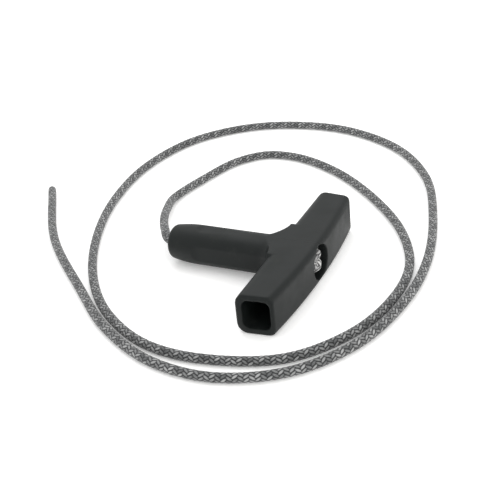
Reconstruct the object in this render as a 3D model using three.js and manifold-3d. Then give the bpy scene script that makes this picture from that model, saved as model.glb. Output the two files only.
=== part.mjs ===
// Starter rope with a moulded T grip, lying flat on a table.
// Millimetres, +Z up. The origin is under the middle of the grip, on the table.
// The stem points along -X, the crossbar runs along Y.

import * as THREE from 'three';
import { mergeVertices } from 'three/addons/utils/BufferGeometryUtils.js';
import Module from 'manifold-3d';

const wasm = await Module();
wasm.setup();

// ---------------------------------------------------------------- driving sizes

const rope = {
  diameter: 4.5,
  sides: 10,
  steps: 80,
};

const bar = {
  length: 100,
  width: 20.5,
  height: 20,
  fingerRadius: 5,     // long edges on the stem side
  palmRadius: 2.8,     // long edges on the palm side
  crown: 3,            // how far the palm side bows out in the middle
  endSkew: 0.08,       // the ends lean outwards on the stem side
  endRound: 1,
};

const stem = {
  reach: 67.5,         // from the crossbar's middle to the tip of the nose
  radius: 9.7,
  flat: 8.8,           // from the stem's axis to each of its four flats
  noseRadius: 5.8,     // the flat ring at the tip
  noseRound: 2.8,
  taper: 12,           // the nose widens over this length
  scallop: 7,          // radius at the nose end of each flat
  flatStart: 15,       // from the tip to where the flats begin
  fillet: 8,           // where the stem runs into the crossbar
};

const bore = {
  clearance: 0.55,     // all round the rope
  mouthRadius: 4,
  mouthDepth: 3.5,
};

const pocket = {
  diameter: 17,
  depth: 13,
};

const hollow = {
  width: 12.8,
  height: 14.2,
  radius: 3.2,
  web: 3.5,            // wall left between each hollow and the knot's pocket
  shift: 0.8,          // the hollows sit a little towards the stem
};

const knot = {
  radius: 6.6,
  length: 9.4,
  travel: 3,           // how far the rope can be pulled before the knot seats
};

const seal = {
  length: 1.6,
  shrink: 0.25,        // the melted end is a little thinner than the rope
};

const gap = 0.3;       // left between pieces that touch
const roundParts = 36; // segments round the stem, the pocket and the bore

// ---------------------------------------------------------------- places worked out from the sizes

const barX = (stem.reach - bar.width / 2) / 2;
const noseX = barX - stem.reach;
const palmX = barX + bar.width / 2;
const axisZ = bar.height / 2;
const ropeRadius = rope.diameter / 2;
const pocketFloorX = palmX - pocket.depth;
const knotX = pocketFloorX + gap + knot.travel + knot.length / 2;
const ropeStartX = noseX + 16;

// The free rope: out of the nose, down to the table, then nearly two loose turns round the grip.
const lying = ropeRadius + 0.05; // just clear of the table
const ropeRoute = [
  [ropeStartX, 0, axisZ], [noseX - 2, 0, axisZ], [-50.2, 11, 9.2], [-57.7, 23.4, 7.4],
  [-64.3, 38.2, lying + 2.7], [-69, 54.7, lying + 0.5], [-64, 81.5, lying], [-55, 107.2, lying],
  [-41.5, 119.8, lying], [-22.4, 120.6, lying], [6.4, 107.6, lying], [38.9, 79.6, lying],
  [62.4, 49.5, lying], [75.1, 18.7, lying], [75.8, -10.2, lying], [67.3, -39.9, lying],
  [46.6, -65.1, lying], [12.3, -75.6, lying], [-15.2, -73.2, lying], [-43.3, -57.6, lying],
  [-66.4, -33.5, lying], [-87.7, 3, lying], [-102.2, 46.2, lying], [-105.7, 91.3, lying],
  [-93.5, 131.7, lying], [-62.4, 159.1, lying], [-16.2, 166.1, lying], [26.6, 148.2, lying],
  [55.5, 114.5, lying], [72.6, 68.7, lying], [81.6, 24.7, lying], [81.2, -10.9, lying],
  [71.9, -46.4, lying], [51.9, -72.9, lying], [23.2, -85.7, lying], [-7.3, -83.4, lying],
  [-39.6, -66.9, lying], [-68.7, -42, lying], [-110.1, -2.7, lying], [-145.1, 46.6, lying],
];

// ---------------------------------------------------------------- solids and meshes

function solidOf(geometry) {
  const bare = geometry.index ? geometry.toNonIndexed() : geometry.clone();
  bare.deleteAttribute('normal');
  bare.deleteAttribute('uv');
  const merged = mergeVertices(bare, 1e-4);
  return new wasm.Manifold(new wasm.Mesh({
    numProp: 3,
    vertProperties: new Float32Array(merged.attributes.position.array),
    triVerts: new Uint32Array(merged.index.array),
  }));
}

function geometryOf(solid) {
  const mesh = solid.getMesh();
  const geometry = new THREE.BufferGeometry();
  geometry.setAttribute('position', new THREE.BufferAttribute(mesh.vertProperties, 3));
  geometry.setIndex(new THREE.BufferAttribute(mesh.triVerts, 1));
  geometry.computeVertexNormals();
  return geometry;
}

function namedMesh(name, geometry, color, roughness) {
  const material = new THREE.MeshStandardMaterial({ color, roughness, metalness: 0 });
  const mesh = new THREE.Mesh(geometry, material);
  mesh.name = name;
  return mesh;
}

// A rectangle centred on the origin, with its own corner radius on the low and the high side.
function roundedRectangle(width, height, lowRadius, highRadius) {
  const shape = new THREE.Shape();
  const w = width / 2;
  const h = height / 2;
  shape.moveTo(-w, -h + lowRadius);
  shape.absarc(-w + lowRadius, -h + lowRadius, lowRadius, Math.PI, 1.5 * Math.PI);
  shape.absarc(w - highRadius, -h + highRadius, highRadius, 1.5 * Math.PI, 2 * Math.PI);
  shape.absarc(w - highRadius, h - highRadius, highRadius, 0, 0.5 * Math.PI);
  shape.absarc(-w + lowRadius, h - lowRadius, lowRadius, 0.5 * Math.PI, Math.PI);
  return shape;
}

// Turned about the stem's axis: each profile point is [radius, distance from the crossbar's middle].
function turnedOnStem(profile) {
  const points = profile.map(([radius, reach]) => new THREE.Vector2(radius, reach));
  const geometry = new THREE.LatheGeometry(points, roundParts);
  geometry.rotateZ(Math.PI / 2);
  geometry.translate(barX, 0, axisZ);
  return geometry;
}

function cylinderOnStem(radius, fromX, toX) {
  const geometry = new THREE.CylinderGeometry(radius, radius, toX - fromX, roundParts);
  geometry.rotateZ(Math.PI / 2);
  geometry.translate((fromX + toX) / 2, 0, axisZ);
  return geometry;
}

// ---------------------------------------------------------------- the grip

function crossbar() {
  const section = roundedRectangle(bar.width, bar.height, bar.fingerRadius, bar.palmRadius);
  const geometry = new THREE.ExtrudeGeometry(section, {
    depth: bar.length - 2 * bar.endRound,
    steps: 16,
    curveSegments: 5,
    bevelEnabled: true,
    bevelThickness: bar.endRound,
    bevelSize: bar.endRound,
    bevelOffset: -bar.endRound,
    bevelSegments: 2,
  });
  geometry.translate(0, 0, -bar.length / 2 + bar.endRound);
  geometry.rotateX(-Math.PI / 2);
  const place = geometry.attributes.position;
  for (let i = 0; i < place.count; i += 1) {
    const x = place.getX(i);
    const y = place.getY(i);
    const along = y / (bar.length / 2);
    const bowed = x > 0 ? x * (1 - bar.crown * along * along / (bar.width / 2)) : x;
    place.setX(i, bowed);
    place.setY(i, y - bar.endSkew * x * along);
  }
  geometry.translate(barX, 0, axisZ);
  return solidOf(geometry);
}

function stemBody() {
  const profile = [[0, 0], [stem.radius + stem.fillet, 0]];
  const filletReach = bar.width / 2 + stem.fillet;
  for (let i = 0; i <= 6; i += 1) {
    const turn = (i / 6) * Math.PI / 2;
    profile.push([
      stem.radius + stem.fillet - stem.fillet * Math.sin(turn),
      filletReach - stem.fillet * Math.cos(turn),
    ]);
  }
  const taperSteps = 5;
  const noseEdge = stem.noseRadius + stem.noseRound;
  for (let i = 0; i <= taperSteps; i += 1) {
    const share = i / taperSteps;
    profile.push([
      stem.radius - (stem.radius - noseEdge) * share * share,
      stem.reach - stem.noseRound - stem.taper * (1 - share),
    ]);
  }
  for (let i = 1; i <= 5; i += 1) {
    const turn = (i / 5) * Math.PI / 2;
    profile.push([
      stem.noseRadius + stem.noseRound * Math.cos(turn),
      stem.reach - stem.noseRound + stem.noseRound * Math.sin(turn),
    ]);
  }
  profile.push([0, stem.reach]);
  return solidOf(turnedOnStem(profile));
}

// What is cut away outside one flat: a block whose nose end is scooped out round.
function flatCutter(turn, barEndX, barEndRadius) {
  const startX = noseX + stem.flatStart;
  const outer = stem.radius + stem.fillet + 1;
  const shape = new THREE.Shape();
  shape.moveTo(startX - stem.scallop * 0.6, outer);
  shape.lineTo(startX - stem.scallop * 0.6, stem.flat + stem.scallop * 0.9);
  shape.quadraticCurveTo(startX - stem.scallop * 0.4, stem.flat, startX + stem.scallop * 0.4, stem.flat);
  shape.lineTo(barEndX - barEndRadius, stem.flat);
  if (barEndRadius > 0) {
    shape.absarc(barEndX - barEndRadius, stem.flat + barEndRadius, barEndRadius, -Math.PI / 2, 0);
  }
  shape.lineTo(barEndX, outer);
  const thickness = 4 * outer;
  const geometry = new THREE.ExtrudeGeometry(shape, {
    depth: thickness,
    curveSegments: 6,
    bevelEnabled: false,
  });
  geometry.translate(0, 0, -thickness / 2);
  geometry.rotateX(turn);
  geometry.translate(0, 0, axisZ);
  return solidOf(geometry);
}

function gripBody() {
  const filletStartX = barX - bar.width / 2;
  let stemSolid = stemBody();
  for (const turn of [0.5 * Math.PI, -0.5 * Math.PI]) {
    stemSolid = stemSolid.subtract(flatCutter(turn, barX, 0));
  }
  for (const turn of [0, Math.PI]) {
    stemSolid = stemSolid.subtract(flatCutter(turn, filletStartX, stem.fillet));
  }
  let grip = crossbar().add(stemSolid);

  const boreRadius = ropeRadius + bore.clearance;
  grip = grip.subtract(solidOf(cylinderOnStem(boreRadius, noseX - 1, palmX)));
  grip = grip.subtract(solidOf(cylinderOnStem(pocket.diameter / 2, pocketFloorX, palmX + 1)));
  const mouth = turnedOnStem([
    [0, stem.reach - bore.mouthDepth],
    [boreRadius, stem.reach - bore.mouthDepth],
    [bore.mouthRadius, stem.reach],
    [bore.mouthRadius, stem.reach + 1],
    [0, stem.reach + 1],
  ]);
  grip = grip.subtract(solidOf(mouth));

  const inner = pocket.diameter / 2 + hollow.web;
  const outer = bar.length / 2 + bar.width * bar.endSkew;
  for (const side of [-1, 1]) {
    const section = roundedRectangle(hollow.width, hollow.height, hollow.radius, hollow.radius);
    const geometry = new THREE.ExtrudeGeometry(section, {
      depth: outer - inner,
      curveSegments: 5,
      bevelEnabled: false,
    });
    geometry.rotateX(-Math.PI / 2);
    geometry.translate(barX - hollow.shift, side > 0 ? inner : -outer, axisZ);
    grip = grip.subtract(solidOf(geometry));
  }
  return geometryOf(grip);
}

// ---------------------------------------------------------------- the rope

function freeRope() {
  const path = new THREE.CatmullRomCurve3(ropeRoute.map((p) => new THREE.Vector3(...p)));
  const section = new THREE.Shape();
  section.absarc(0, 0, ropeRadius, 0, 2 * Math.PI);
  return new THREE.ExtrudeGeometry(section, {
    extrudePath: path,
    steps: rope.steps,
    curveSegments: rope.sides,
    bevelEnabled: false,
  });
}

// The knot, and the leg that runs back through the bore to meet the free rope. Its tail is tucked in.
function stopperKnot() {
  const profile = [];
  const rings = 8;
  for (let i = 0; i <= rings; i += 1) {
    const turn = (i / rings) * Math.PI;
    const radius = i === 0 || i === rings ? 0 : knot.radius * Math.sin(turn) ** 0.6;
    profile.push(new THREE.Vector2(radius, -knot.length / 2 * Math.cos(turn)));
  }
  const ball = new THREE.LatheGeometry(profile, 20);
  ball.rotateZ(-Math.PI / 2);
  ball.translate(knotX, 0, axisZ);
  const leg = new THREE.CylinderGeometry(ropeRadius, ropeRadius, knotX - ropeStartX - gap, rope.sides);
  leg.rotateZ(Math.PI / 2);
  leg.translate((knotX + ropeStartX + gap) / 2, 0, axisZ);
  return geometryOf(solidOf(ball).add(solidOf(leg)));
}

// A melted rope end, standing on the origin and pointing along +Y.
function meltedEnd() {
  const radius = ropeRadius - seal.shrink;
  const profile = [
    [0, 0], [radius, 0], [radius, seal.length * 0.45], [radius * 0.8, seal.length * 0.85], [0, seal.length],
  ];
  return new THREE.LatheGeometry(profile.map((p) => new THREE.Vector2(...p)), 12);
}

function freeEndSeal() {
  const path = new THREE.CatmullRomCurve3(ropeRoute.map((p) => new THREE.Vector3(...p)));
  const end = path.getPoint(1);
  const direction = path.getTangent(1);
  const geometry = meltedEnd();
  const up = new THREE.Vector3(0, 1, 0);
  geometry.applyQuaternion(new THREE.Quaternion().setFromUnitVectors(up, direction));
  const start = end.addScaledVector(direction, gap);
  geometry.translate(start.x, start.y, start.z);
  return geometry;
}

// ---------------------------------------------------------------- the assembly

const group = new THREE.Group();
group.add(namedMesh('grip_body', gripBody(), 0x2e3232, 0.5));
group.add(namedMesh('rope', freeRope(), 0x74777a, 0.9));
group.add(namedMesh('rope_knot', stopperKnot(), 0x9fa2a6, 0.9));
group.add(namedMesh('rope_end_seal', freeEndSeal(), 0x4a4b4c, 0.4));

export default group;
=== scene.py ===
import math

import bpy
from mathutils import Matrix, Vector


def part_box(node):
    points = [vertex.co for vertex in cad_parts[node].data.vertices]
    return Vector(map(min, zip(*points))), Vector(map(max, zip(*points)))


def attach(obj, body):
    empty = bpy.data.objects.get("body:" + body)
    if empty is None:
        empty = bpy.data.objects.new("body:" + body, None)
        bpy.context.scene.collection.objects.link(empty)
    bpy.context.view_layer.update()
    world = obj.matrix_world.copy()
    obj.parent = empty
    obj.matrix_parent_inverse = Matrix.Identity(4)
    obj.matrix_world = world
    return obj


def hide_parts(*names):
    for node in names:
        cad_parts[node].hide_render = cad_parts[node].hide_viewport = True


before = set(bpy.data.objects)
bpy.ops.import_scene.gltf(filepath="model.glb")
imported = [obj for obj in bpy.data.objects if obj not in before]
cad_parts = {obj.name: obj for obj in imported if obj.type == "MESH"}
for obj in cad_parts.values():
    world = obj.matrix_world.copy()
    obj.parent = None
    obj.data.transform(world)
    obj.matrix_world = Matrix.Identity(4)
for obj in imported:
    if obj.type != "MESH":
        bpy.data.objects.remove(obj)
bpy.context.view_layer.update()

# Starter rope with a moulded T grip. Metres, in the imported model's frame:
# the stem points along -X, the crossbar runs along Y, the table is z = 0.

MM = 0.001

# ------------------------------------------------------------------ sizes

GRIP_LOW, GRIP_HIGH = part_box("grip_body")
BAR_WIDTH = 20.5 * MM
BAR_HEIGHT = GRIP_HIGH.z - GRIP_LOW.z
BAR_LENGTH = 100 * MM
PALM_X = GRIP_HIGH.x
NOSE_X = GRIP_LOW.x
BAR_X = PALM_X - BAR_WIDTH / 2
FINGER_X = BAR_X - BAR_WIDTH / 2
AXIS_Z = (GRIP_LOW.z + GRIP_HIGH.z) / 2
FINGER_RADIUS = 5 * MM
PALM_RADIUS = 2.8 * MM
CROWN = 3 * MM                 # how far the palm side bows out in the middle
END_SKEW = 0.08                # the ends lean outwards on the stem side
END_ROUND = 1 * MM

STEM_RADIUS = 9.7 * MM
STEM_FLAT = 8.8 * MM           # from the stem's axis to each of its four flats
NOSE_RADIUS = 5.8 * MM
NOSE_ROUND = 2.8 * MM
NOSE_TAPER = 12 * MM
SCALLOP = 7 * MM
FLAT_START = 15 * MM
SCOOP_LEAD = 0.6               # share of the scoop that lies ahead of where the flat starts
FILLET = 8 * MM

BORE_RADIUS = 2.8 * MM
MOUTH_RADIUS = 4 * MM
MOUTH_DEPTH = 3.5 * MM
POCKET_RADIUS = 8.5 * MM
POCKET_DEPTH = 13 * MM

HOLLOW_WIDTH = 12.8 * MM
HOLLOW_HEIGHT = 14.2 * MM
HOLLOW_RADIUS = 3.2 * MM
HOLLOW_WEB = 3.5 * MM
HOLLOW_SHIFT = 0.8 * MM

ROPE_RADIUS = 2.25 * MM
LYING = 2.3 * MM               # the rope's middle, when it lies on the table
PIECE_GAP = 0.3 * MM
STRANDS_EACH_WAY = 8
STRAND_CROWN = 0.62            # how much of the relief is each strand's own round
STRAND_WEAVE = 0.38            # and how much is its rise and fall over the others
BRAID_PITCH = 4.6 * MM         # one turn of the zigzag along the rope
BRAID_RELIEF = 0.16 * MM
RELIEF_SET_IN = 0.55           # share of the relief that keeps the tallest strand inside the radius
RING_SPACING = BRAID_PITCH / 9
ROPE_SIDES = 36
KNOT_SIDES = 32
END_WIDTH = 0.82               # of a rounded rope end, against the rope
ROPE_INSIDE = 16 * MM          # how far the free rope's tube starts inside the stem
ROPE_START_X = NOSE_X + ROPE_INSIDE
KNOT_LENGTH = 9.4 * MM

GRIP_VOXEL = 0.45 * MM
NEAR = 0.1 * MM                # how close counts as lying on a face or a corner

# The free rope, in millimetres: out of the nose, down to the table, then nearly two loose turns.
FLAT = LYING / MM
AXIS = AXIS_Z / MM
ROPE_ROUTE = [
    (ROPE_START_X / MM, 0, AXIS), (NOSE_X / MM - 2, 0, AXIS), (-50.2, 11, 9.2), (-57.7, 23.4, 7.4),
    (-64.3, 38.2, FLAT + 2.7), (-69, 54.7, FLAT + 0.5), (-64, 81.5, FLAT), (-55, 107.2, FLAT),
    (-41.5, 119.8, FLAT), (-22.4, 120.6, FLAT), (6.4, 107.6, FLAT), (38.9, 79.6, FLAT), (62.4, 49.5, FLAT),
    (75.1, 18.7, FLAT), (75.8, -10.2, FLAT), (67.3, -39.9, FLAT), (46.6, -65.1, FLAT), (12.3, -75.6, FLAT),
    (-15.2, -73.2, FLAT), (-43.3, -57.6, FLAT), (-66.4, -33.5, FLAT), (-87.7, 3, FLAT),
    (-102.2, 46.2, FLAT), (-105.7, 91.3, FLAT), (-93.5, 131.7, FLAT), (-62.4, 159.1, FLAT),
    (-16.2, 166.1, FLAT), (26.6, 148.2, FLAT), (55.5, 114.5, FLAT), (72.6, 68.7, FLAT), (81.6, 24.7, FLAT),
    (81.2, -10.9, FLAT), (71.9, -46.4, FLAT), (51.9, -72.9, FLAT), (23.2, -85.7, FLAT),
    (-7.3, -83.4, FLAT), (-39.6, -66.9, FLAT), (-68.7, -42, FLAT), (-110.1, -2.7, FLAT),
    (-145.1, 46.6, FLAT),
]

# ------------------------------------------------------------------ camera, lights and floor

CAMERA_TURN = 27.37            # degrees from +Y towards -X
CAMERA_PITCH = 29.54           # degrees down
CAMERA_ROLL = -6
CAMERA_PLACE = (0.1932, -0.3683, 0.246)
CAMERA_LENS = 72
SENSOR_WIDTH = 36

SURROUNDING_LIGHT = 0.95
TABLE_GLOW = 0.22              # keeps the shadows on the white table light


def make_camera():
    data = bpy.data.cameras.new("camera")
    data.sensor_width = SENSOR_WIDTH
    data.lens = CAMERA_LENS
    data.clip_start = 0.01
    data.clip_end = 20
    camera = bpy.data.objects.new("camera", data)
    camera.location = CAMERA_PLACE
    turned = Matrix.Rotation(math.radians(CAMERA_TURN), 4, "Z")
    tipped = Matrix.Rotation(math.radians(90 - CAMERA_PITCH), 4, "X")
    rolled = Matrix.Rotation(math.radians(CAMERA_ROLL), 4, "Z")
    camera.rotation_euler = (turned @ tipped @ rolled).to_euler()
    bpy.context.scene.collection.objects.link(camera)
    bpy.context.scene.camera = camera


def area_light(name, place, target, size, watts, color):
    data = bpy.data.lights.new(name, "AREA")
    data.shape = "DISK"
    data.size = size
    data.energy = watts
    data.color = color
    lamp = bpy.data.objects.new(name, data)
    lamp.location = place
    lamp.rotation_euler = (Vector(target) - Vector(place)).to_track_quat("-Z", "Y").to_euler()
    bpy.context.scene.collection.objects.link(lamp)


def make_studio():
    world = bpy.data.worlds.new("studio")
    bpy.context.scene.world = world
    world.use_nodes = True
    background = world.node_tree.nodes["Background"]
    background.inputs["Color"].default_value = (1.0, 1.0, 1.0, 1)
    background.inputs["Strength"].default_value = SURROUNDING_LIGHT
    area_light("overhead_soft_box", place=(-0.25, 0.35, 1.1), target=(0, 0.02, 0),
               size=1.1, watts=5.5, color=(1.0, 1.0, 1.0))
    area_light("palm_side_fill", place=(0.75, -0.35, 0.45), target=(0.02, 0, 0),
               size=0.5, watts=1.6, color=(1.0, 0.97, 0.92))
    bpy.context.scene.view_settings.view_transform = "Standard"


def make_floor():
    bpy.ops.object.select_all(action="DESELECT")
    bpy.ops.mesh.primitive_plane_add(size=8, location=(0, 0, 0))
    floor = bpy.context.object
    floor.name = "floor"
    material = bpy.data.materials.new("white_table")
    material.use_nodes = True
    shader = material.node_tree.nodes["Principled BSDF"]
    shader.inputs["Base Color"].default_value = (0.93, 0.93, 0.925, 1)
    shader.inputs["Roughness"].default_value = 0.85
    shader.inputs["Specular IOR Level"].default_value = 0.1
    shader.inputs["Emission Color"].default_value = (1, 1, 1, 1)
    shader.inputs["Emission Strength"].default_value = TABLE_GLOW
    floor.data.materials.append(material)


# ------------------------------------------------------------------ shader helpers


class Nodes:
    """Adds nodes to one node tree, and joins them by name."""

    def __init__(self, tree):
        self.tree = tree

    def add(self, kind, **settings):
        node = self.tree.nodes.new(kind)
        for name, value in settings.items():
            setattr(node, name, value)
        return node

    def link(self, source, target):
        self.tree.links.new(source, target)

    def feed(self, socket, value):
        if hasattr(value, "is_output"):
            self.link(value, socket)
        else:
            socket.default_value = value

    def math(self, operation, a, b=0.0, c=0.0):
        node = self.add("ShaderNodeMath", operation=operation)
        for socket, value in zip(node.inputs, (a, b, c)):
            self.feed(socket, value)
        return node.outputs[0]

    def vector(self, x, y, z):
        node = self.add("ShaderNodeCombineXYZ")
        for socket, value in zip(node.inputs, (x, y, z)):
            self.feed(socket, value)
        return node.outputs[0]

    def noise(self, vector, scale, detail=2.0, roughness=0.5):
        node = self.add("ShaderNodeTexNoise")
        self.feed(node.inputs["Vector"], vector)
        self.feed(node.inputs["Scale"], scale)
        node.inputs["Detail"].default_value = detail
        node.inputs["Roughness"].default_value = roughness
        return node.outputs["Fac"]

    def remap(self, value, low, high, to_low=0.0, to_high=1.0):
        node = self.add("ShaderNodeMapRange", interpolation_type="SMOOTHSTEP")
        self.feed(node.inputs["Value"], value)
        node.inputs["From Min"].default_value = low
        node.inputs["From Max"].default_value = high
        self.feed(node.inputs["To Min"], to_low)
        self.feed(node.inputs["To Max"], to_high)
        return node.outputs["Result"]

    def mix(self, share, a, b):
        node = self.add("ShaderNodeMix", data_type="RGBA")
        self.feed(node.inputs[0], share)
        self.feed(node.inputs[6], a)
        self.feed(node.inputs[7], b)
        return node.outputs[2]


def new_group(name, inputs, outputs):
    """A shader node group with named sockets: (name, socket type, default) in, (name, type) out."""
    tree = bpy.data.node_groups.new(name, "ShaderNodeTree")
    for label, kind, default in inputs:
        socket = tree.interface.new_socket(label, in_out="INPUT", socket_type=kind)
        if default is not None:
            socket.default_value = default
    for label, kind in outputs:
        tree.interface.new_socket(label, in_out="OUTPUT", socket_type=kind)
    nodes = Nodes(tree)
    return nodes, nodes.add("NodeGroupInput").outputs, nodes.add("NodeGroupOutput").inputs


def use_group(nodes, group, **values):
    node = nodes.add("ShaderNodeGroup", node_tree=bpy.data.node_groups[group])
    for label, value in values.items():
        nodes.feed(node.inputs[label.replace("_", " ")], value)
    return node.outputs


def new_material(name):
    material = bpy.data.materials.new(name)
    material.use_nodes = True
    nodes = Nodes(material.node_tree)
    shader = material.node_tree.nodes["Principled BSDF"]
    return material, nodes, shader


# ------------------------------------------------------------------ shared effects


def braid_strand(nodes, own, other, turn_sign):
    """Height and cross position of the strands that run one way round the rope."""
    number = nodes.math("ROUND", own)
    across = nodes.math("SUBTRACT", own, number)
    wave = nodes.math("COSINE", nodes.math("MULTIPLY", across, math.pi))
    crown = nodes.math("MULTIPLY", wave, STRAND_CROWN)
    step = nodes.math("MULTIPLY", nodes.math("SUBTRACT", other, number), turn_sign)
    phase = nodes.math("MULTIPLY", nodes.math("SUBTRACT", step, 0.5), math.pi / 2)
    weave = nodes.math("MULTIPLY", nodes.math("COSINE", phase), STRAND_WEAVE * turn_sign)
    return nodes.math("ADD", crown, weave), across, number


def build_braid_pattern():
    """A tubular braid of sixteen strands, each over two and under two. UV.x is once round, UV.y one pitch."""
    nodes, given, out = new_group(
        "braid_pattern",
        [("UV", "NodeSocketVector", None), ("Wander", "NodeSocketFloat", 0.12)],
        [("Height", "NodeSocketFloat"), ("Gap Painted Shade", "NodeSocketFloat"),
         ("Strand", "NodeSocketFloat"), ("Fibre", "NodeSocketFloat")],
    )
    split = nodes.add("ShaderNodeSeparateXYZ")
    nodes.link(given["UV"], split.inputs[0])
    round_the_rope = nodes.math("MULTIPLY", split.outputs["X"], STRANDS_EACH_WAY)
    along = nodes.math("MULTIPLY", split.outputs["Y"], 2.0)
    right = nodes.math("ADD", round_the_rope, along)
    left = nodes.math("SUBTRACT", round_the_rope, along)
    right_height, right_across, right_number = braid_strand(nodes, right, left, 1.0)
    left_height, left_across, left_number = braid_strand(nodes, left, right, -1.0)

    right_wins = nodes.math("GREATER_THAN", right_height, left_height)
    left_wins = nodes.math("SUBTRACT", 1.0, right_wins)
    height = nodes.math("MAXIMUM", right_height, left_height)

    def chosen(a, b):
        return nodes.math("ADD", nodes.math("MULTIPLY", a, right_wins), nodes.math("MULTIPLY", b, left_wins))

    across = chosen(right_across, left_across)
    along_strand = chosen(left, right)
    strand = chosen(
        nodes.math("FLOORED_MODULO", right_number, float(STRANDS_EACH_WAY)),
        nodes.math("ADD", nodes.math("FLOORED_MODULO", left_number, float(STRANDS_EACH_WAY)), 20.0),
    )
    tone = nodes.add("ShaderNodeTexWhiteNoise", noise_dimensions="1D")
    nodes.link(strand, tone.inputs["W"])

    thread_across = nodes.math("MULTIPLY", across, 9.0)
    thread_along = nodes.math("MULTIPLY", along_strand, 1.1)
    threads = nodes.vector(thread_across, thread_along, strand)
    fibre = nodes.noise(threads, 1.0, detail=3.0, roughness=0.6)
    nodes.link(nodes.math("ADD", height, nodes.math("MULTIPLY", fibre, given["Wander"])), out["Height"])
    # mask for painted shade: it is 1 where the strands sink low, in the recesses between them
    nodes.link(nodes.remap(height, 0.48, 0.86, 1.0, 0.0), out["Gap Painted Shade"])
    nodes.link(tone.outputs["Value"], out["Strand"])
    nodes.link(fibre, out["Fibre"])


def build_moulded_grain():
    """Fine moulded texture with slow unevenness: a height, and a map of the slow patches."""
    nodes, given, out = new_group(
        "moulded_grain",
        [("Place", "NodeSocketVector", None), ("Grain Scale", "NodeSocketFloat", 2600.0),
         ("Wave Scale", "NodeSocketFloat", 60.0)],
        [("Height", "NodeSocketFloat"), ("Patches", "NodeSocketFloat")],
    )
    grain = nodes.noise(given["Place"], given["Grain Scale"], detail=3.0, roughness=0.62)
    wave = nodes.noise(given["Place"], given["Wave Scale"], detail=2.0)
    nodes.link(nodes.math("ADD", grain, nodes.math("MULTIPLY", wave, 1.4)), out["Height"])
    nodes.link(wave, out["Patches"])


def build_handling_wear():
    """Clouds of pale rubs and dust, with short scratches inside them."""
    nodes, given, out = new_group(
        "handling_wear",
        [("Place", "NodeSocketVector", None), ("Amount", "NodeSocketFloat", 0.5)],
        [("Mask", "NodeSocketFloat"), ("Scratch", "NodeSocketFloat")],
    )
    cloud = nodes.remap(nodes.noise(given["Place"], 140.0, detail=5.0, roughness=0.7), 0.52, 0.78)
    stretched = nodes.add("ShaderNodeMapping")
    nodes.link(given["Place"], stretched.inputs["Vector"])
    stretched.inputs["Rotation"].default_value = (0.5, 0.3, 0.9)
    stretched.inputs["Scale"].default_value = (1.0, 14.0, 1.0)
    lines = nodes.remap(nodes.noise(stretched.outputs[0], 210.0, detail=2.0), 0.68, 0.74)
    scratch = nodes.math("MULTIPLY", lines, cloud)
    nodes.link(nodes.math("MULTIPLY", nodes.math("MAXIMUM", cloud, scratch), given["Amount"]), out["Mask"])
    nodes.link(nodes.math("MULTIPLY", scratch, given["Amount"]), out["Scratch"])


# ------------------------------------------------------------------ materials


def bump(nodes, height, distance, strength=1.0, normal=None):
    node = nodes.add("ShaderNodeBump")
    node.inputs["Strength"].default_value = strength
    node.inputs["Distance"].default_value = distance
    nodes.link(height, node.inputs["Height"])
    if normal is not None:
        nodes.link(normal, node.inputs["Normal"])
    return node.outputs["Normal"]


def braid_material(name, dark, light, gap_painted_shade, wear):
    material, nodes, shader = new_material(name)
    coordinates = nodes.add("ShaderNodeTexCoord").outputs
    braid = use_group(nodes, "braid_pattern", UV=coordinates["UV"], Wander=0.16)
    soil = nodes.noise(coordinates["Object"], 55.0, detail=4.0, roughness=0.6)
    tone = nodes.math("MULTIPLY_ADD", braid["Strand"], 0.45, nodes.math("MULTIPLY", braid["Fibre"], 0.75))
    yarn = nodes.mix(nodes.remap(tone, 0.22, 0.85), dark, light)
    soiled = nodes.mix(nodes.remap(soil, 0.3, 0.75, 0.0, wear), yarn, dark)
    # painted shade: the low ground between the strands is darkened towards the near-black gap colour
    color = nodes.mix(nodes.math("MULTIPLY", braid["Gap Painted Shade"], 0.93), soiled, gap_painted_shade)
    nodes.link(color, shader.inputs["Base Color"])
    nodes.link(nodes.remap(braid["Fibre"], 0.2, 0.8, 0.62, 0.85), shader.inputs["Roughness"])
    nodes.link(bump(nodes, braid["Height"], 0.35 * MM, 0.9), shader.inputs["Normal"])
    shader.inputs["Specular IOR Level"].default_value = 0.35
    shader.inputs["Sheen Weight"].default_value = 0.25
    shader.inputs["Sheen Roughness"].default_value = 0.45
    return material


def grip_material():
    material, nodes, shader = new_material("charcoal_moulded_plastic")
    place = nodes.add("ShaderNodeTexCoord").outputs["Object"]
    grain = use_group(nodes, "moulded_grain", Place=place, Grain_Scale=2400.0, Wave_Scale=70.0)
    wear = use_group(nodes, "handling_wear", Place=place, Amount=0.4)
    plastic = nodes.mix(grain["Patches"], (0.0075, 0.0098, 0.0098, 1), (0.0120, 0.0142, 0.0136, 1))
    rubbed = nodes.mix(wear["Mask"], plastic, (0.026, 0.028, 0.026, 1))
    nodes.link(rubbed, shader.inputs["Base Color"])
    rough = nodes.remap(grain["Patches"], 0.3, 0.7, 0.44, 0.54)
    nodes.link(nodes.math("MULTIPLY_ADD", wear["Mask"], 0.14, rough), shader.inputs["Roughness"])

    split = nodes.add("ShaderNodeSeparateXYZ")
    nodes.link(place, split.inputs[0])
    side = nodes.math("ABSOLUTE", split.outputs["Y"])
    line = nodes.remap(side, 0.05 * MM, 0.22 * MM, 1.0, 0.0)
    on_bar = nodes.remap(split.outputs["X"], BAR_X - 14 * MM, BAR_X - 11 * MM)
    on_top = nodes.math("GREATER_THAN", split.outputs["Z"], AXIS_Z)
    parting = nodes.math("MULTIPLY", nodes.math("MULTIPLY", line, on_bar), on_top)
    lined = bump(nodes, parting, 0.09 * MM, 1.0)
    cut = bump(nodes, wear["Scratch"], -0.03 * MM, 0.5, lined)
    nodes.link(bump(nodes, grain["Height"], 0.035 * MM, 0.6, cut), shader.inputs["Normal"])
    shader.inputs["Specular IOR Level"].default_value = 0.2
    return material


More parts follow.
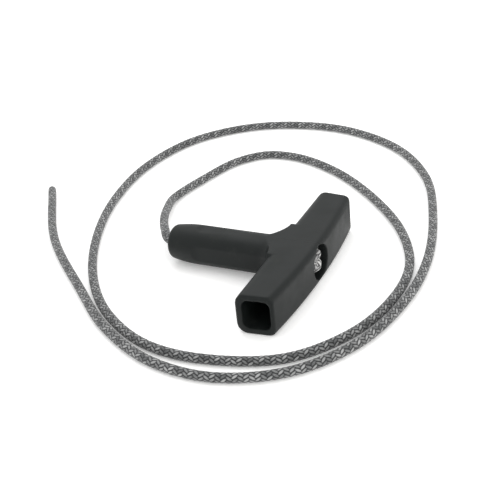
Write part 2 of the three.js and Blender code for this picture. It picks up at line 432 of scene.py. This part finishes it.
def melted_material():
    material, nodes, shader = new_material("melted_fibre")
    place = nodes.add("ShaderNodeTexCoord").outputs["Object"]
    blobs = nodes.noise(place, 900.0, detail=4.0, roughness=0.6)
    nodes.link(nodes.mix(nodes.remap(blobs, 0.35, 0.7), (0.05, 0.05, 0.052, 1), (0.19, 0.19, 0.195, 1)),
               shader.inputs["Base Color"])
    nodes.link(nodes.remap(blobs, 0.3, 0.7, 0.3, 0.55), shader.inputs["Roughness"])
    nodes.link(bump(nodes, blobs, 0.25 * MM, 0.8), shader.inputs["Normal"])
    return material


# ------------------------------------------------------------------ modelling helpers


def start_edit(obj):
    bpy.ops.object.select_all(action="DESELECT")
    bpy.context.view_layer.objects.active = obj
    obj.select_set(True)
    bpy.ops.object.mode_set(mode="EDIT")


def end_edit():
    bpy.ops.object.mode_set(mode="OBJECT")


def select_where(obj, kind, test):
    """Selects only the vertices or edges that pass the test, in edit mode."""
    bpy.ops.mesh.select_all(action="DESELECT")
    bpy.ops.mesh.select_mode(type={"vertices": "VERT", "edges": "EDGE"}[kind])
    bpy.ops.object.mode_set(mode="OBJECT")
    mesh = obj.data
    for item in getattr(mesh, kind):
        if kind == "vertices":
            item.select = test(item.co)
        else:
            item.select = test([mesh.vertices[v].co for v in item.vertices])
    bpy.ops.object.mode_set(mode="EDIT")


def add_block(name, low, high):
    """A box between two corners, its place already in its mesh."""
    bpy.ops.object.select_all(action="DESELECT")
    low, high = Vector(low), Vector(high)
    bpy.ops.mesh.primitive_cube_add(size=1, location=(low + high) / 2, scale=high - low)
    block = bpy.context.object
    block.name = name
    bpy.ops.object.transform_apply(location=True, rotation=True, scale=True)
    return block


def add_turned(name, stations, sides=96):
    """A solid turned about the stem's axis, by extruding a disc through stations of (x, radius)."""
    bpy.ops.object.select_all(action="DESELECT")
    first_x, first_radius = stations[0]
    centre = (first_x, 0, AXIS_Z)
    bpy.ops.mesh.primitive_circle_add(vertices=sides, radius=first_radius, fill_type="NGON",
                                      location=centre, rotation=(0, math.pi / 2, 0))
    turned = bpy.context.object
    turned.name = name
    bpy.ops.object.transform_apply(location=True, rotation=True, scale=True)
    start_edit(turned)
    bpy.ops.mesh.select_all(action="SELECT")
    x, radius = first_x, first_radius
    for next_x, next_radius in stations[1:]:
        bpy.ops.mesh.extrude_region_move(TRANSFORM_OT_translate={"value": (next_x - x, 0, 0)})
        ratio = next_radius / radius
        bpy.ops.transform.resize(value=(1, ratio, ratio), center_override=(next_x, 0, AXIS_Z))
        x, radius = next_x, next_radius
    bpy.ops.mesh.select_all(action="SELECT")
    bpy.ops.mesh.normals_make_consistent(inside=False)
    end_edit()
    return turned


def round_edges(obj, test, radius, segments):
    """Bevels the edges that pass the test."""
    start_edit(obj)
    select_where(obj, "edges", test)
    bpy.ops.mesh.bevel(offset=radius, segments=segments, affect="EDGES")
    end_edit()


def apply_modifier(obj, kind, **settings):
    bpy.ops.object.select_all(action="DESELECT")
    bpy.context.view_layer.objects.active = obj
    obj.select_set(True)
    modifier = obj.modifiers.new(kind.lower(), kind)
    for name, value in settings.items():
        setattr(modifier, name, value)
    bpy.ops.object.modifier_apply(modifier=modifier.name)


def join_solid(body, tool, operation):
    """Adds the tool to the body or cuts it away, and deletes the tool."""
    apply_modifier(body, "BOOLEAN", operation=operation, object=tool, solver="EXACT")
    bpy.data.objects.remove(tool)


def along_y(ends):
    a, b = ends
    return abs(a.y - b.y) > abs(a.x - b.x) + abs(a.z - b.z)


def finish_piece(piece, name, material, body, replaced):
    piece.name = name
    piece.data.name = name
    piece.data.materials.clear()
    piece.data.materials.append(material)
    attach(piece, body)
    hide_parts(replaced)


# ------------------------------------------------------------------ the grip


def make_crossbar():
    half_length = BAR_LENGTH / 2
    bar = add_block("crossbar", (FINGER_X, -half_length, 0), (PALM_X, half_length, BAR_HEIGHT))
    slices = 24
    start_edit(bar)
    for i in range(1, slices):
        y = -half_length + BAR_LENGTH * i / slices
        bpy.ops.mesh.select_all(action="SELECT")
        bpy.ops.mesh.bisect(plane_co=(BAR_X, y, AXIS_Z), plane_no=(0, 1, 0))
    for i in range(slices + 1):
        y = -half_length + BAR_LENGTH * i / slices
        share = y / half_length
        for palm_side in (True, False):
            x = PALM_X if palm_side else FINGER_X
            select_where(bar, "vertices", lambda co: abs(co.y - y) < NEAR and abs(co.x - x) < NEAR)
            bow = -CROWN * share * share if palm_side else 0
            lean = -END_SKEW * (x - BAR_X) * share
            bpy.ops.transform.translate(value=(bow, lean, 0))
    end_edit()

    def on_palm_side(ends):
        return all(co.x > BAR_X + 2 * MM for co in ends)

    end_zone = half_length - BAR_WIDTH * END_SKEW - NEAR

    def at_end(ends):
        return all(abs(co.y) > end_zone for co in ends) and not along_y(ends)

    def long_corner(ends):
        return along_y(ends) and all(min(co.z, BAR_HEIGHT - co.z) < NEAR for co in ends)

    round_edges(bar, lambda ends: long_corner(ends) and on_palm_side(ends), PALM_RADIUS, 6)
    round_edges(bar, lambda ends: long_corner(ends) and not on_palm_side(ends), FINGER_RADIUS, 8)
    round_edges(bar, at_end, END_ROUND, 3)
    return bar


def make_stem():
    """Dome-nosed stem: nose ring, rounded edge, slow taper, then a flare into the crossbar."""
    stations = [(NOSE_X, NOSE_RADIUS)]
    edge_steps = 5
    for i in range(1, edge_steps + 1):
        turn = math.pi / 2 * i / edge_steps
        x = NOSE_X + NOSE_ROUND * (1 - math.cos(turn))
        radius = NOSE_RADIUS + NOSE_ROUND * math.sin(turn)
        stations.append((x, radius))
    nose_edge = NOSE_RADIUS + NOSE_ROUND
    taper_steps = 8
    for i in range(1, taper_steps + 1):
        left = 1 - i / taper_steps
        radius = STEM_RADIUS - (STEM_RADIUS - nose_edge) * left * left
        stations.append((NOSE_X + NOSE_ROUND + NOSE_TAPER * (1 - left), radius))
    fillet_steps = 8
    for i in range(fillet_steps + 1):
        turn = math.pi / 2 * i / fillet_steps
        x = FINGER_X - FILLET * (1 - math.sin(turn))
        radius = STEM_RADIUS + FILLET * (1 - math.cos(turn))
        stations.append((x, radius))
    stations.append((BAR_X, STEM_RADIUS + FILLET))
    return add_turned("stem", stations)


def rise_to_bar(cutter, side):
    """Tilts the cut so that the level flats run up flush into the crossbar's top and underside."""
    level = AXIS_Z + STEM_FLAT * side
    start = NOSE_X + FLAT_START
    slope = (BAR_HEIGHT / 2 - STEM_FLAT) / (FINGER_X - start)
    end = max(v.co.x for v in cutter.data.vertices)
    start_edit(cutter)
    select_where(cutter, "vertices", lambda co: abs(co.z - level) < NEAR and co.x > BAR_X)
    bpy.ops.transform.translate(value=(0, 0, side * slope * (end - start)))
    end_edit()


def cut_flats(stem):
    """Four flats. Each begins in a round scoop behind the nose; the two upright ones end in the flare."""
    start = NOSE_X + FLAT_START - SCALLOP * SCOOP_LEAD
    reach = STEM_RADIUS + FILLET + 2 * MM
    wide = 30 * MM
    for upright in (False, True):
        end = FINGER_X if upright else BAR_X + 5 * MM
        for side in (-1, 1):
            near, far = STEM_FLAT * side, reach * side
            if upright:
                low = (start, min(near, far), AXIS_Z - wide)
                high = (end, max(near, far), AXIS_Z + wide)
            else:
                low = (start, -wide, AXIS_Z + min(near, far))
                high = (end, wide, AXIS_Z + max(near, far))
            cutter = add_block("flat_cutter", low, high)
            if not upright:
                rise_to_bar(cutter, side)

            def at_corner(ends, x):
                level = [co.y if upright else co.z - AXIS_Z for co in ends]
                on_flat = all(abs(v - near) < NEAR for v in level)
                return on_flat and all(abs(co.x - x) < NEAR for co in ends)

            round_edges(cutter, lambda ends: at_corner(ends, start), SCALLOP, 10)
            if upright:
                round_edges(cutter, lambda ends: at_corner(ends, end), FILLET, 10)
            join_solid(stem, cutter, "DIFFERENCE")
    for side in (-1, 1):
        near, far = side * BAR_HEIGHT / 2, side * reach * 2
        low = (NOSE_X - wide, -wide, AXIS_Z + min(near, far))
        high = (PALM_X + wide, wide, AXIS_Z + max(near, far))
        join_solid(stem, add_block("level_cutter", low, high), "DIFFERENCE")


def cut_hollows(body):
    inner = POCKET_RADIUS + HOLLOW_WEB
    outer = BAR_LENGTH
    middle = BAR_X - HOLLOW_SHIFT
    for side in (-1, 1):
        low = (middle - HOLLOW_WIDTH / 2, min(side * inner, side * outer), AXIS_Z - HOLLOW_HEIGHT / 2)
        high = (middle + HOLLOW_WIDTH / 2, max(side * inner, side * outer), AXIS_Z + HOLLOW_HEIGHT / 2)
        cutter = add_block("hollow_cutter", low, high)
        round_edges(cutter, along_y, HOLLOW_RADIUS, 8)
        join_solid(body, cutter, "DIFFERENCE")


def make_grip():
    body = make_crossbar()
    stem = make_stem()
    cut_flats(stem)
    join_solid(body, stem, "UNION")
    bore = add_turned("bore_cutter", [
        (NOSE_X - 1 * MM, MOUTH_RADIUS), (NOSE_X, MOUTH_RADIUS),
        (NOSE_X + MOUTH_DEPTH, BORE_RADIUS), (PALM_X - POCKET_DEPTH / 2, BORE_RADIUS),
    ], 48)
    join_solid(body, bore, "DIFFERENCE")
    pocket = add_turned("pocket_cutter", [
        (PALM_X - POCKET_DEPTH, POCKET_RADIUS), (PALM_X + 1 * MM, POCKET_RADIUS),
    ])
    join_solid(body, pocket, "DIFFERENCE")
    cut_hollows(body)
    apply_modifier(body, "REMESH", mode="VOXEL", voxel_size=GRIP_VOXEL, adaptivity=0.0)
    apply_modifier(body, "SMOOTH", factor=0.5, iterations=4)
    bpy.ops.object.shade_smooth()
    finish_piece(body, "grip_moulding", grip_material(), "grip", "grip_body")


# ------------------------------------------------------------------ the rope


def smooth_route(points, steps):
    """A centripetal curve through the points, with the same number of steps between each two."""
    ends = [points[0] * 2 - points[1]] + points + [points[-1] * 2 - points[-2]]
    line = []
    for p0, p1, p2, p3 in zip(ends, ends[1:], ends[2:], ends[3:]):
        d0, d1, d2 = [(b - a).length ** 0.5 for a, b in ((p0, p1), (p1, p2), (p2, p3))]
        start = ((p1 - p0) / d0 - (p2 - p0) / (d0 + d1) + (p2 - p1) / d1) * d1
        end = ((p2 - p1) / d1 - (p3 - p1) / (d1 + d2) + (p3 - p2) / d2) * d1
        for i in range(steps):
            t = i / steps
            square, cube = t * t, t * t * t
            line.append(p1 * (2 * cube - 3 * square + 1) + start * (cube - 2 * square + t)
                        + p2 * (3 * square - 2 * cube) + end * (cube - square))
    line.append(points[-1].copy())
    return line


def even_points(line, spacing):
    """Points at an even spacing along a line, and the line's length."""
    marks = [0.0]
    for a, b in zip(line, line[1:]):
        marks.append(marks[-1] + (b - a).length)
    count = max(2, round(marks[-1] / spacing))
    points = []
    j = 0
    for i in range(count + 1):
        want = marks[-1] * i / count
        while j < len(line) - 2 and marks[j + 1] < want:
            j += 1
        share = (want - marks[j]) / (marks[j + 1] - marks[j])
        points.append(line[j].lerp(line[j + 1], min(1.0, max(0.0, share))))
    return points, marks[-1]


def braid_height(u, v):
    """The braid's relief, from 0 to 1, at a point round (u) and along (v) the rope."""
    right = STRANDS_EACH_WAY * u + 2 * v
    left = STRANDS_EACH_WAY * u - 2 * v
    i, j = round(right), round(left)
    rising = STRAND_CROWN * math.cos(math.pi * (right - i))
    rising += STRAND_WEAVE * math.cos(math.pi / 2 * (left - i - 0.5))
    falling = STRAND_CROWN * math.cos(math.pi * (left - j))
    falling -= STRAND_WEAVE * math.cos(math.pi / 2 * (j - right - 0.5))
    return max(rising, falling)


def braided_tube(name, line, spacing, sides, end_taper):
    """A closed tube along a line, with the braid's relief in its surface and a UV map that follows it."""
    points, length = even_points(line, spacing)
    mean_radius = ROPE_RADIUS - BRAID_RELIEF * RELIEF_SET_IN
    vertices = []
    normal = None
    for k, point in enumerate(points):
        ahead = points[min(k + 1, len(points) - 1)]
        behind = points[max(k - 1, 0)]
        direction = (ahead - behind).normalized()
        if normal is None:
            normal = direction.orthogonal().normalized()
        normal = (normal - direction * normal.dot(direction)).normalized()
        side = direction.cross(normal)
        along = length * k / (len(points) - 1)
        from_end = min(along, length - along)
        close = math.sqrt(max(0.0, 1 - (1 - min(1.0, from_end / end_taper)) ** 2)) if end_taper else 1.0
        for s in range(sides):
            u = s / sides
            relief = BRAID_RELIEF * (braid_height(u, along / BRAID_PITCH) - 0.5)
            radius = (mean_radius + relief) * (END_WIDTH + (1 - END_WIDTH) * close)
            angle = 2 * math.pi * u
            vertices.append(point + (normal * math.cos(angle) + side * math.sin(angle)) * radius)
    faces = []
    rings = len(points)
    for k in range(rings - 1):
        for s in range(sides):
            t = (s + 1) % sides
            faces.append((k * sides + s, k * sides + t, (k + 1) * sides + t, (k + 1) * sides + s))
    faces.append(tuple(reversed(range(sides))))
    faces.append(tuple(range((rings - 1) * sides, rings * sides)))
    mesh = bpy.data.meshes.new(name)
    mesh.from_pydata(vertices, [], faces)
    uv = mesh.uv_layers.new(name="along_rope").data
    loop = 0
    for k in range(rings - 1):
        low = length * k / (rings - 1) / BRAID_PITCH
        high = length * (k + 1) / (rings - 1) / BRAID_PITCH
        for s in range(sides):
            for u, v in ((s, low), (s + 1, low), (s + 1, high), (s, high)):
                uv[loop].uv = (u / sides, v)
                loop += 1
    mesh.update()
    mesh.polygons.foreach_set("use_smooth", [len(p.vertices) == 4 for p in mesh.polygons])
    obj = bpy.data.objects.new(name, mesh)
    bpy.context.scene.collection.objects.link(obj)
    return obj, points, length


def make_free_rope():
    route = [Vector(p) * MM for p in ROPE_ROUTE]
    line = smooth_route(route, steps=40)
    rope, points, length = braided_tube("starter_rope", line, RING_SPACING, ROPE_SIDES, end_taper=0)
    # the near-black gap colour is painted shade between the strands
    material = braid_material("grey_braid", dark=(0.055, 0.058, 0.060, 1), light=(0.40, 0.405, 0.405, 1),
                              gap_painted_shade=(0.012, 0.013, 0.014, 1), wear=0.45)
    finish_piece(rope, "starter_rope", material, "rope_set", "rope")


def knot_line():
    """The leg through the bore, then an overhand knot drawn tight in the pocket."""
    knot_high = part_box("rope_knot")[1]
    floor_x = PALM_X - POCKET_DEPTH
    centre = Vector((knot_high.x - KNOT_LENGTH / 2, 0, AXIS_Z))
    size = 1.42 * MM
    depth_stretch = 1.35
    first_angle = -75
    swept_angle = 330
    line = []
    leg_end = ROPE_START_X + PIECE_GAP
    for share in (0, 0.5, 0.93):
        line.append(Vector((leg_end + (floor_x - leg_end) * share, 0, AXIS_Z)))
    knot_steps = 24
    for i in range(knot_steps + 1):
        t = math.radians(first_angle + swept_angle * i / knot_steps)
        across = math.sin(t) + 2 * math.sin(2 * t)
        upward = math.cos(t) - 2 * math.cos(2 * t)
        depth = -math.sin(3 * t)
        line.append(centre + Vector((depth * depth_stretch, across, upward)) * size)
    return line


def make_knot():
    smooth = smooth_route(knot_line(), steps=20)
    knot, _, _ = braided_tube("stopper_knot", smooth, RING_SPACING, KNOT_SIDES, end_taper=1.2 * MM)
    # the dark gap colour is painted shade between the strands
    material = braid_material("clean_grey_braid", dark=(0.30, 0.30, 0.305, 1), light=(0.82, 0.82, 0.80, 1),
                              gap_painted_shade=(0.03, 0.03, 0.033, 1), wear=0.2)
    finish_piece(knot, "stopper_knot", material, "rope_set", "rope_knot")


def dress_seal(node, material):
    """The rope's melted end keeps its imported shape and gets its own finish."""
    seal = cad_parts[node]
    seal.data.materials.clear()
    seal.data.materials.append(material)
    return seal


# ------------------------------------------------------------------ everything together

make_camera()
make_studio()
make_floor()
build_braid_pattern()
build_moulded_grain()
build_handling_wear()

melted = melted_material()
rope_end = dress_seal("rope_end_seal", melted)
make_free_rope()
make_knot()
make_grip()
